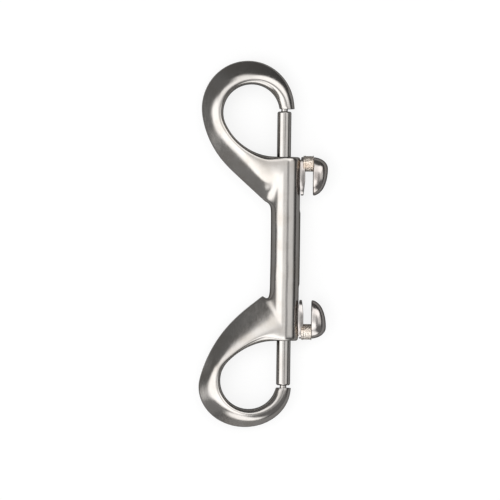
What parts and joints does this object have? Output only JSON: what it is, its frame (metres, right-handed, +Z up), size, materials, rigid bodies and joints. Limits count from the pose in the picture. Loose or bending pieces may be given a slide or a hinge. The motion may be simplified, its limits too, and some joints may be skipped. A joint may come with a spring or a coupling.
{
  "type": "double ended bolt snap",
  "caption": "Polished steel bolt snap with a hook at each end of a straight barrel, each hook closed by a spring bolt with a side thumb stud.",
  "frame": {"origin": "centre of the snap's box, on the surface that it lies on", "axes": "+Y along the barrel towards the upper hook, +X towards the thumb studs, +Z up from the surface"},
  "size_m": [0.0346, 0.0998, 0.008],
  "materials": {
    "polished_steel": "polished cast stainless steel",
    "turned_steel": "polished turned stainless steel",
    "stud_steel": "polished stainless steel, rougher on the stem",
    "spring_wire": "drawn spring wire"
  },
  "bodies": {
    "snap_body": {"body": "polished_steel", "upper_spring": "spring_wire", "lower_spring": "spring_wire"},
    "upper_latch": {"upper_bolt": "turned_steel", "upper_thumb_stud": "stud_steel"},
    "lower_latch": {"lower_bolt": "turned_steel", "lower_thumb_stud": "stud_steel"}
  },
  "joints": [
    {"name": "upper_bolt_slide", "type": "slide", "parent": "snap_body", "child": "upper_latch", "axis": [0, -1, 0], "range_m": [0, 0.0122], "stiffness_N_per_m": 250, "springref_m": -0.006, "deforming": ["upper_spring"]},
    {"name": "lower_bolt_slide", "type": "slide", "parent": "snap_body", "child": "lower_latch", "axis": [0, 1, 0], "range_m": [0, 0.0117], "stiffness_N_per_m": 250, "springref_m": -0.006, "deforming": ["lower_spring"]}
  ]
}
